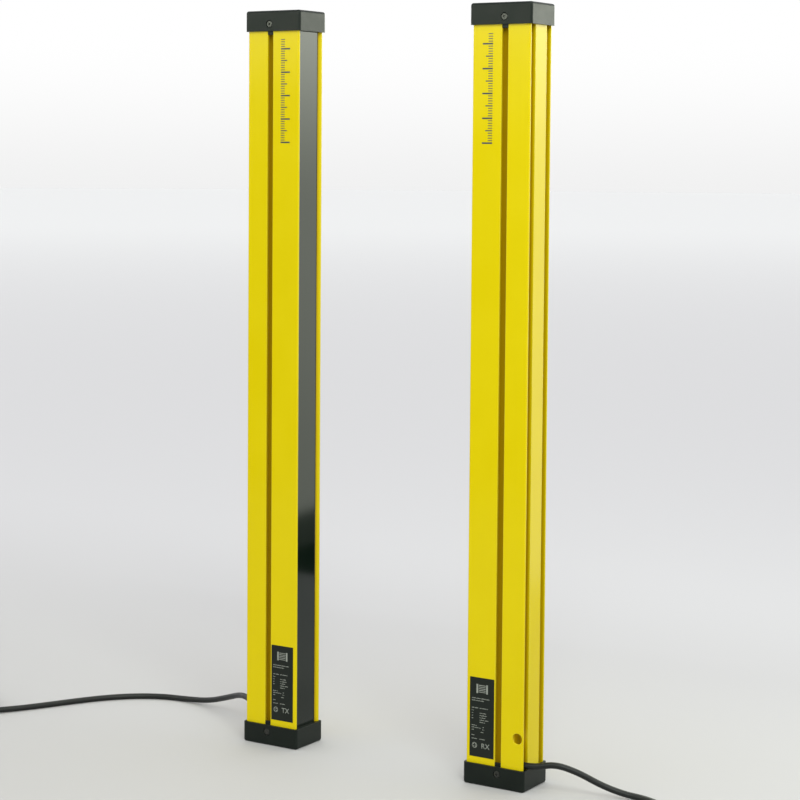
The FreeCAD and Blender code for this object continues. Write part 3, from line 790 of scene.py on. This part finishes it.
@dataclass
class CoilTie:
    """The woven strap round the coil, with its end lapped over the top. Millimetres."""

    run: LeadRun
    width: float = 8.0
    thickness: float = 0.6
    daylight: float = 0.05
    lap_gap: float = 0.02
    lap_above: float = 6.0  # the lapped end covers what lies above this
    lap_reach: float = 2.0  # and further out than this inside the section's middle

    def turns_crossed(self) -> list[tuple[int, int]]:
        """Return the row and layer of each turn at a corner of the section under the strap."""
        run = self.run
        gone = (run.tie_at - run.angle_in) * run.turn % 360
        left = (run.angle_out - run.angle_in) * run.turn % 360
        return [(0, 0), (3, 0), (0, 1), (3 if gone < left else 2, 1)]

    def build(self) -> Piece:
        """Return the strap, drawn tight round the coil's section."""
        work = Workpiece()
        bm = work.bm
        for row, layer in self.turns_crossed():
            out = self.run.outer_radius - row * self.run.diameter
            at = (out, 0.0, self.run.low + layer * self.run.diameter)
            place = Matrix.Translation(at) @ Matrix.Rotation(math.pi / 2, 4, "X")
            radius = self.run.diameter / 2 + self.daylight
            bmesh.ops.create_cone(
                bm, cap_ends=False, segments=32, radius1=radius, radius2=radius, depth=self.width,
                matrix=place,
            )
        bmesh.ops.delete(bm, geom=bm.edges[:], context="EDGES_FACES")
        bmesh.ops.convex_hull(bm, input=bm.verts[:])
        loose = [v for v in bm.verts if not v.link_faces]
        bmesh.ops.delete(bm, geom=loose, context="VERTS")
        ends = work.faces_where(lambda at, normal: abs(normal.y) > 0.9)
        bmesh.ops.delete(bm, geom=ends, context="FACES")
        bmesh.ops.recalc_face_normals(bm, faces=bm.faces[:])
        middle = self.run.outer_radius - 1.5 * self.run.diameter
        inner = middle - self.lap_reach
        lapped = work.faces_where(lambda at, normal: at.z > self.lap_above and at.x > inner)
        lap = bmesh.ops.duplicate(bm, geom=lapped)["geom"]
        bm.normal_update()
        for vert in verts_in(lap):
            vert.co += vert.normal * (self.thickness + self.lap_gap)
        bmesh.ops.solidify(bm, geom=bm.faces[:], thickness=-self.thickness)
        bmesh.ops.recalc_face_normals(bm, faces=bm.faces[:])
        turn = Matrix.Rotation(math.radians(self.run.tie_at), 4, "Z")
        centre = Matrix.Translation((*self.run.coil_centre, 0.0))
        return work.finish(f"{self.run.side.label}_coil_strap", Matrix.Scale(MM, 4) @ centre @ turn)


@dataclass
class PlugBody:
    """The moulded plug: slotted strain relief, ribbed barrel, neck and face. Millimetres along the plug."""

    run: LeadRun
    steps: int = 48
    relief_start: float = 3.7  # radii
    barrel: float = 5.7
    relief_length: float = 22.0
    slot_count: int = 7
    slot_first: float = 2.0
    slot_pitch: float = 2.75
    slot_width: float = 1.4
    spine: float = 15.0  # degrees that the slots keep from each side seam
    grooves: Pair = (24.0, 32.5)  # where the barrel's finger grooves start and end

    def slots(self) -> list[Pair]:
        """Return where each ring of the relief's slots starts and ends."""
        starts = [self.slot_first + i * self.slot_pitch for i in range(self.slot_count)]
        return [(start, start + self.slot_width) for start in starts]

    def profile(self) -> list[Pair]:
        """Return the plug's outline from the axis at the lead to the axis at the face."""
        slope = (self.barrel - self.relief_start) / self.relief_length
        relief = [(self.relief_start + slope * d, d) for slot in self.slots() for d in slot]
        return [
            (0.0, 0.7), (2.65, 0.7), (2.65, 0.0), (3.4, 0.0), (3.7, 0.4), *relief,
            (5.62, 21.6), (5.7, 22.3), (5.7, 24.0), (5.7, 32.5), (5.7, 35.2), (5.35, 35.85), (4.5, 36.0),
            (4.5, 46.15), (5.05, 46.15), (5.05, 46.95), (4.85, 47.2), (3.9, 47.2), (3.9, 46.9), (3.5, 46.9),
            (3.5, 47.2), (0.0, 47.2),
        ]

    def build(self) -> Piece:
        """Return the plug's body."""
        work = Workpiece()
        work.turned(self.profile(), self.steps)
        slots = self.slots()

        def in_slot(at: Vector, normal: Vector) -> bool:
            """Say whether a face lies in one of the relief's slots, clear of its two spines.

            Args:
                at: The face's middle.
                normal: Its normal, which doesn't matter.

            Returns:
                Whether it does.
            """
            angle = abs(math.degrees(math.atan2(at.y, at.x))) % 180.0
            clear = self.spine < angle < 180.0 - self.spine
            return any(a < at.z < b for a, b in slots) and clear and at.xy.length > self.relief_start - 0.2

        def in_groove(at: Vector, normal: Vector) -> bool:
            """Say whether a face lies in one of the barrel's finger grooves.

            Args:
                at: The face's middle.
                normal: Its normal, which doesn't matter.

            Returns:
                Whether it does.
            """
            step = int((math.degrees(math.atan2(at.y, at.x)) % 360.0) / (360.0 / self.steps))
            low, high = self.grooves
            return low < at.z < high and at.xy.length > self.barrel - 0.2 and step % 3 == 0

        for test, border, depth in ((in_slot, 0.15, 0.75), (in_groove, 0.12, 0.28)):
            faces = work.faces_where(test)
            bmesh.ops.inset_region(work.bm, faces=faces, thickness=border, depth=-depth, use_boundary=True)
        return work.finish(f"{self.run.side.label}_plug_shell", plug_place(self.run))


@dataclass
class CouplingRing:
    """The fluted ring that turns on the plug's neck, with its screw thread. Millimetres along the plug."""

    run: LeadRun
    steps: int = 128
    flutes: int = 16
    flute_depth: float = 0.42
    grip: float = 7.3  # radii
    root: float = 5.45
    crest: float = 5.93
    pitch: float = 1.0
    turns: int = 9
    thread_start: float = 45.2

    def profile(self) -> list[Pair]:
        """Return the ring's closed section."""
        return [
            (4.55, 36.15), (6.95, 36.15), (7.2, 36.3), (self.grip, 36.6), (self.grip, 43.7), (7.2, 44.05),
            (6.95, 44.2), (5.55, 44.2), (5.35, 44.4), (5.35, 44.8), (self.root, 45.0), (self.root, 54.4),
            (5.35, 55.0), (5.25, 55.0), (5.25, 46.0), (4.55, 46.0), (4.55, 36.15),
        ]

    def build(self) -> Piece:
        """Return the ring."""
        work = Workpiece()
        work.turned(self.profile(), self.steps)
        for vert in work.bm.verts:
            if vert.co.xy.length > self.grip - 0.45:
                angle = math.atan2(vert.co.y, vert.co.x)
                scoop = max(0.0, math.cos(self.flutes * angle)) ** 0.8
                vert.co.xy *= 1.0 - self.flute_depth * scoop / self.grip
        self.cut_thread(work)
        return work.finish(f"{self.run.side.label}_coupling_ring", plug_place(self.run), smooth_below=40.0)

    def cut_thread(self, work: Workpiece) -> None:
        """Wind the thread's ridge round the ring's nose.

        Args:
            work: The ring's mesh.
        """
        bm = work.bm
        foot = self.root - 0.06
        half = self.pitch * 0.44
        corners = ((foot, -half), (self.crest, -0.06), (self.crest, 0.06), (foot, half))
        verts = [bm.verts.new((radius, 0.0, self.thread_start + rise)) for radius, rise in corners]
        edges = [bm.edges.new(pair) for pair in zip(verts, verts[1:] + verts[:1])]
        around = 40
        ends = bmesh.ops.spin(
            bm, geom=[*verts, *edges], cent=(0, 0, 0), axis=(0, 0, 1), dvec=(0, 0, self.pitch / around),
            angle=math.tau * self.turns, steps=around * self.turns, use_merge=False, use_duplicate=False,
        )["geom_last"]
        for loop in (verts, verts_in(ends)):
            bmesh.ops.contextual_create(bm, geom=loop)
        bmesh.ops.recalc_face_normals(bm, faces=bm.faces[:])


# -------------------- printing


def facing_near(corner: Point) -> Matrix:
    """Return the transform from print millimetres (right, up, out of the near side) to the row frame.

    Args:
        corner: The print's lower left corner in the row frame, in metres.

    Returns:
        The transform.
    """
    turn = Matrix(((1, 0, 0), (0, 0, -1), (0, 1, 0))).to_4x4()
    return Matrix.Translation(corner) @ turn @ Matrix.Scale(MM, 4)


@dataclass
class PlatePrint:
    """The pale printing on a rating plate: two pictures, plain rows and the unit's letters. Millimetres."""

    side: Side
    ink: float = 0.03
    line: float = 0.75  # height of a row's marks
    letter_size: float = 6.1
    letters_at: Pair = (11.0, 7.4)
    pins_at: Pair = (4.8, 9.4)
    pin_reach: float = 0.85  # of each pin from the ring's middle, right and up
    # right, up and length of each row of marks
    rows: Sequence[Point] = (
        (2.0, 48.3, 16.5), (2.0, 46.4, 11.5), (2.0, 40.3, 6.0), (9.4, 40.3, 8.0), (2.0, 38.0, 2.0),
        (2.0, 35.8, 1.3), (2.0, 33.6, 1.3), (2.0, 31.4, 1.3), (9.4, 36.2, 6.2), (9.4, 34.3, 6.8),
        (9.4, 32.4, 5.6), (9.4, 30.5, 8.4), (9.4, 28.6, 5.0), (2.0, 25.6, 5.2), (2.0, 23.8, 8.4),
        (12.2, 24.6, 1.6), (12.2, 22.6, 1.6), (2.0, 21.9, 2.0), (10.6, 20.4, 2.6), (2.0, 17.4, 3.0),
        (2.0, 14.6, 5.0), (9.4, 14.6, 5.2),
    )

    def mark(self, work: Workpiece, right: float, up: float, wide: float, high: float) -> None:
        """Print one upright mark.

        Args:
            work: The print's mesh.
            right: Its left edge.
            up: Its lower edge.
            wide: Its width.
            high: Its height.
        """
        work.block((right, up, -0.02), (right + wide, up + high, self.ink))

    def words(self, work: Workpiece) -> None:
        """Print the rows as runs of small marks.

        Args:
            work: The print's mesh.
        """
        for number, (right, up, length) in enumerate(self.rows):
            at, step = right, number
            while at < right + length - 0.3:
                wide = (0.42, 0.62, 0.34, 0.74, 0.5)[step % 5]
                high = self.line * (0.72, 1.0, 0.8, 0.72, 1.0, 0.66)[step % 6]
                self.mark(work, at, up, min(wide, right + length - at), high)
                at += wide + (0.55 if step % 6 == 4 else 0.2)
                step += 1

    def pictogram(self, work: Workpiece) -> None:
        """Print two posts with beams between them.

        Args:
            work: The print's mesh.
        """
        middle, base = 11.6, 53.0
        for x in (-5.4, 3.8):
            self.mark(work, middle + x, base, 1.6, 7.6)
        for i in range(5):
            self.mark(work, middle - 3.3, base + 0.8 + i * 1.4, 6.6, 0.55)

    def disc(self, work: Workpiece, right: float, up: float, radius: float) -> list[bmesh.types.BMFace]:
        """Lay a thin disc.

        Args:
            work: The print's mesh.
            right: Its middle.
            up: Its middle.
            radius: Its radius.

        Returns:
            Its faces.
        """
        at = Matrix.Translation((right, up, self.ink / 2))
        made = bmesh.ops.create_circle(work.bm, cap_ends=True, segments=24, radius=radius, matrix=at)
        return list({f for v in made["verts"] for f in v.link_faces})

    def pin_picture(self, work: Workpiece) -> None:
        """Print the face of the plug: a ring and four pins.

        Args:
            work: The print's mesh.
        """
        right, up = self.pins_at
        ring = self.disc(work, right, up, 2.3)
        bmesh.ops.inset_region(work.bm, faces=ring, thickness=0.45, use_boundary=True)
        bmesh.ops.delete(work.bm, geom=ring, context="FACES")
        for x, y in ((1, 1), (1, -1), (-1, 1), (-1, -1)):
            self.disc(work, right + x * self.pin_reach, up + y * self.pin_reach, 0.45)
        middle = self.ink / 2
        flat = [f for f in work.bm.faces if all(abs(v.co.z - middle) < 1e-6 for v in f.verts)]
        grown = bmesh.ops.extrude_face_region(work.bm, geom=flat)["geom"]
        bmesh.ops.translate(work.bm, verts=verts_in(grown), vec=(0, 0, middle))

    def letters(self, work: Workpiece) -> None:
        """Print the unit's two letters.

        Args:
            work: The print's mesh.
        """
        text = bpy.data.curves.new("letters", "FONT")
        text.body = "TX" if self.side is Side.TRANSMITTER else "RX"
        text.size, text.extrude = self.letter_size, 0.01
        holder = new_object("letters", text)
        bpy.context.view_layer.update()
        solved = holder.evaluated_get(bpy.context.evaluated_depsgraph_get())
        mesh = bpy.data.meshes.new_from_object(solved)
        mesh.transform(Matrix.Translation((*self.letters_at, 0.02)))
        work.bm.from_mesh(mesh)
        bpy.data.objects.remove(holder)
        bpy.data.curves.remove(text)
        bpy.data.meshes.remove(mesh)

    def build(self) -> Piece:
        """Return the printing as one piece on its plate."""
        low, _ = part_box(f"{self.side.label}_rating_plate")
        work = Workpiece()
        self.pin_picture(work)
        self.words(work)
        self.pictogram(work)
        self.letters(work)
        bmesh.ops.recalc_face_normals(work.bm, faces=work.bm.faces[:])
        return work.finish(f"{self.side.label}_plate_print", facing_near(low))


@dataclass
class HeightScale:
    """A plain printed scale of strokes near the top of each post's near side. Millimetres."""

    side: Side
    from_axis: float = 7.8  # its inner edge, towards the window
    width: float = 9.6
    low: float = 527.0
    height: float = 88.0
    pitch: float = 2.0
    ink: float = 0.03

    def stroke(self, number: int) -> Pair:
        """Return a stroke's length and thickness.

        Args:
            number: The stroke, counted from the lowest.

        Returns:
            The length and the thickness. Every tenth is longest and every fifth is longer.
        """
        if number % 10 == 0:
            return self.width, 1.3
        return (6.6, 0.95) if number % 5 == 0 else (4.2, 0.7)

    def build(self) -> Piece:
        """Return the scale as one piece."""
        work = Workpiece()
        forward = self.side is Side.TRANSMITTER
        for i in range(int(self.height / self.pitch) + 1):
            long, thick = self.stroke(i)
            start = 0.0 if forward else self.width - long
            up = i * self.pitch
            work.block((start, up - thick / 2, -0.02), (start + long, up + thick / 2, self.ink))
        inset = self.from_axis if forward else -self.from_axis - self.width
        left = -self.side.value * POST_PITCH / 2 + inset
        corner = (left * MM, -HALF_WIDTH * MM, self.low * MM)
        return work.finish(f"{self.side.label}_height_scale", facing_near(corner))


# -------------------- stage


Glow = Callable[[NodeBench, Socket, Socket], Socket]


def behind_glow(bench: NodeBench, x: Socket, z: Socket) -> Socket:
    """Return the glow behind the posts: dark at the foot, then brighter with height.

    Args:
        bench: The card's tree.
        x: The place along the card.
        z: The height.

    Returns:
        The brightness.
    """
    lean, foot = 0.376, 0.0985  # the dark foot's upper edge falls with X from this height
    slanted = bench.math("MULTIPLY_ADD", x, lean, bench.math("SUBTRACT", z, foot))
    lit = bench.ramp(slanted, 0.095, 0.11)
    rise = bench.math("ADD", bench.ramp(z, 0.1, 0.45, 1.75, 2.5), bench.ramp(z, 0.45, 0.75, 0.0, 4.8))
    return bench.math("ADD", bench.math("MULTIPLY", lit, rise), bench.ramp(slanted, 0.06, 0.066, 0.0, 0.25))


def front_glow(bench: NodeBench, x: Socket, z: Socket) -> Socket:
    """Return the glow before the posts: dark low down, brighter at their tops.

    Args:
        bench: The card's tree.
        x: The place along the card, on which it doesn't depend.
        z: The height.

    Returns:
        The brightness.
    """
    return bench.ramp(z, 0.64, 0.78, 0.0, 7.0)


@dataclass
class Studio:
    """The camera, the pale floor and the soft lights."""

    position: Point = (0.9569, -1.5055, 0.5164)
    yaw: float = -32.266
    pitch: float = 3.361
    roll: float = 0.435
    lens: float = 95.303
    shift: float = -0.15
    floor_radius: float = 30.0

    def camera(self) -> None:
        """Place the camera and make it the scene's."""
        data = bpy.data.cameras.new("camera")
        data.lens = self.lens
        data.sensor_width = 36.0
        data.shift_y = self.shift
        data.clip_end = 200.0
        yaw, pitch, roll = (math.radians(a) for a in (self.yaw, self.pitch, self.roll))
        ahead = Vector((math.sin(yaw) * math.cos(pitch), math.cos(yaw) * math.cos(pitch), -math.sin(pitch)))
        right = ahead.cross(Vector((0, 0, 1))).normalized()
        up = right.cross(ahead)
        right, up = (
            right * math.cos(roll) + up * math.sin(roll),
            up * math.cos(roll) - right * math.sin(roll),
        )
        camera = new_object("camera", data)
        turn = Matrix((right, up, -ahead)).transposed()
        camera.matrix_world = Matrix.Translation(self.position) @ turn.to_4x4()
        bpy.context.scene.camera = camera

    def put(self, name: str, bm: bmesh.types.BMesh, material: bpy.types.Material) -> Piece:
        """Put a mesh on the stage.

        Args:
            name: Its name.
            bm: Its shape, which is used up.
            material: Its material.

        Returns:
            The piece of stage.
        """
        mesh = bpy.data.meshes.new(name)
        bm.to_mesh(mesh)
        bm.free()
        mesh.materials.append(material)
        piece = new_object(name, mesh)
        piece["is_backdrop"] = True
        return piece

    def floor(self) -> None:
        """Lay the floor, palest far out and a little darker round the posts' feet, where a shadow is painted.
        """
        bm = bmesh.new()
        bmesh.ops.create_circle(bm, cap_ends=True, segments=96, radius=self.floor_radius)
        bench = NodeBench("floor_pale")
        reach = bench.add("ShaderNodeVectorMath", {0: bench.position}, operation="LENGTH").outputs["Value"]
        back = bench.add("ShaderNodeSeparateXYZ", {0: bench.position}).outputs["Y"]
        # Painted shadow: the floor darkens round and in front of the posts' feet; further out it pales
        # towards the whiter surroundings.
        clear_of_painted_shadow = bench.math("MAXIMUM", bench.ramp(back, -0.3, 0.9), bench.ramp(back, -0.45, -1.9))
        near = bench.mix(clear_of_painted_shadow, (0.525, 0.52, 0.516), (0.69, 0.69, 0.705))
        colour = bench.mix(bench.ramp(reach, 1.0, 14.0), near, (0.865, 0.875, 0.88))
        look = {"Base Color": colour, "Roughness": 0.75, "Specular IOR Level": 0.2}
        self.put("floor", bm, bench.surfaced("ShaderNodeBsdfPrincipled", look))

    def light(self, name: str, place: Point, aim: Point, size: Pair, power: float) -> None:
        """Add one soft light.

        Args:
            name: Its name.
            place: Where it hangs.
            aim: What it points at.
            size: Its width and height.
            power: Its power in watts.
        """
        data = bpy.data.lights.new(name, "AREA")
        data.shape = "RECTANGLE"
        data.size, data.size_y = size
        data.energy = power
        data.color = (0.93, 1.0, 0.9)
        lamp = new_object(name, data)
        lamp.location = place
        lamp.rotation_mode = "QUATERNION"
        lamp.rotation_quaternion = (Vector(aim) - Vector(place)).to_track_quat("-Z", "Y")

    def sky(self) -> None:
        """Set the pale surroundings, whiter above the horizon."""
        world = bpy.data.worlds.new("surroundings")
        bpy.context.scene.world = world
        world.use_nodes = True
        tree = world.node_tree
        background = tree.nodes["Background"]
        coord = tree.nodes.new("ShaderNodeTexCoord")
        split = tree.nodes.new("ShaderNodeSeparateXYZ")
        rise = tree.nodes.new("ShaderNodeMapRange")
        rise.interpolation_type = "SMOOTHSTEP"
        for key, value in (("From Min", -0.03), ("From Max", 0.055), ("To Min", 0.87), ("To Max", 1.0)):
            rise.inputs[key].default_value = value
        tree.links.new(coord.outputs["Generated"], split.inputs[0])
        tree.links.new(split.outputs["Z"], rise.inputs["Value"])
        tree.links.new(rise.outputs[0], background.inputs["Color"])
        background.inputs["Strength"].default_value = 1.0

    def card(
        self, name: str, y: float, low: Pair, high: Pair, glow: Glow
    ) -> None:
        """Stand a card that only the posts' gloss sees.

        Args:
            name: Its name.
            y: Where it stands.
            low: Its lower corner's X and Z.
            high: Its upper corner's X and Z.
            glow: Makes its brightness from the bench, X and Z.
        """
        bm = bmesh.new()
        middle = Vector(((low[0] + high[0]) / 2, y, (low[1] + high[1]) / 2))
        size = Matrix.Diagonal((high[0] - low[0], high[1] - low[1], 1.0, 1.0))
        upright = Matrix.Rotation(math.pi / 2, 4, "X")
        bmesh.ops.create_grid(bm, size=0.5, matrix=Matrix.Translation(middle) @ upright @ size)
        bench = NodeBench(name)
        split = bench.add("ShaderNodeSeparateXYZ", {0: bench.position})
        strength = glow(bench, split.outputs["X"], split.outputs["Z"])
        look = {"Color": (0.96, 1.0, 0.87, 1.0), "Strength": strength}
        card = self.put(name, bm, bench.surfaced("ShaderNodeEmission", look))
        for ray in ("camera", "diffuse", "shadow", "transmission", "volume_scatter"):
            setattr(card, f"visible_{ray}", False)

    def build(self) -> None:
        """Set up everything round the object."""
        self.camera()
        self.floor()
        self.sky()
        self.card("bright_card", y=0.5, low=(-0.7, 0.03), high=(1.7, 0.75), glow=behind_glow)
        self.card("dim_card", y=-1.2, low=(-2.4, 0.0), high=(0.4, 0.96), glow=front_glow)
        self.light("key", place=(0.95, -1.0, 1.35), aim=(0.0, 0.0, 0.8), size=(0.8, 0.8), power=15.0)
        bpy.context.scene.view_settings.view_transform = "Standard"


def write_sizes() -> None:
    """Gather the CAD box and the visual model's box side by side, without writing or keeping them."""
    boxes = {"cad": CAD_BOX, "visual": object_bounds()}
    {name: [list(corner) for corner in box] for name, box in boxes.items()}


def add(
    piece: Piece, shop: Paintshop, finish: Finish, body: str = "root",
    replaced: Iterable[str] = (),
) -> Piece:
    """Finish a piece, seat it on its body and hide the CAD nodes that it stands for.

    Args:
        piece: The piece.
        shop: Where its material is made.
        finish: Its finish.
        body: The body that it rides on.
        replaced: The CAD nodes that it stands for.

    Returns:
        The piece.
    """
    shop.coat(piece, finish)
    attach(piece, body)
    if replaced:
        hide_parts(*replaced)
    LOG.info("%s made", piece.name)
    return piece


def dress_lead(run: LeadRun, shop: Paintshop) -> None:
    """Lay one lead and make what is on it.

    Args:
        run: The lead.
        shop: Where the materials are made.
    """
    unit = run.side.label
    lead = add(run.build(), shop, LEAD_BLACK, replaced=(f"{unit}_lead", f"{unit}_lead_coil"))
    tie = add(CoilTie(run).build(), shop, TIE_FABRIC, replaced=(f"{unit}_coil_tie",))
    shell = add(PlugBody(run).build(), shop, PLUG_BLACK, replaced=(f"{unit}_plug_body",))
    ring = CouplingRing(run).build()
    add(ring, shop, RING_NICKEL, body=f"{unit}_ring", replaced=(f"{unit}_plug_ring",))
    tuple(c * MM for c in run.exit)


def main() -> None:
    """Build the looks round the frame."""
    logging.basicConfig(level=logging.INFO, format="%(message)s")
    Studio().build()
    shop = Paintshop()
    for run in LEADS:
        dress_lead(run, shop)
    for side in Side:
        add(PlatePrint(side).build(), shop, PLATE_PRINT)
        add(HeightScale(side).build(), shop, NAVY_PRINT)
    LOG.info("%d CAD nodes finished", shop.recoat_nodes())
    write_sizes()


if __name__ == "__main__":
    main()
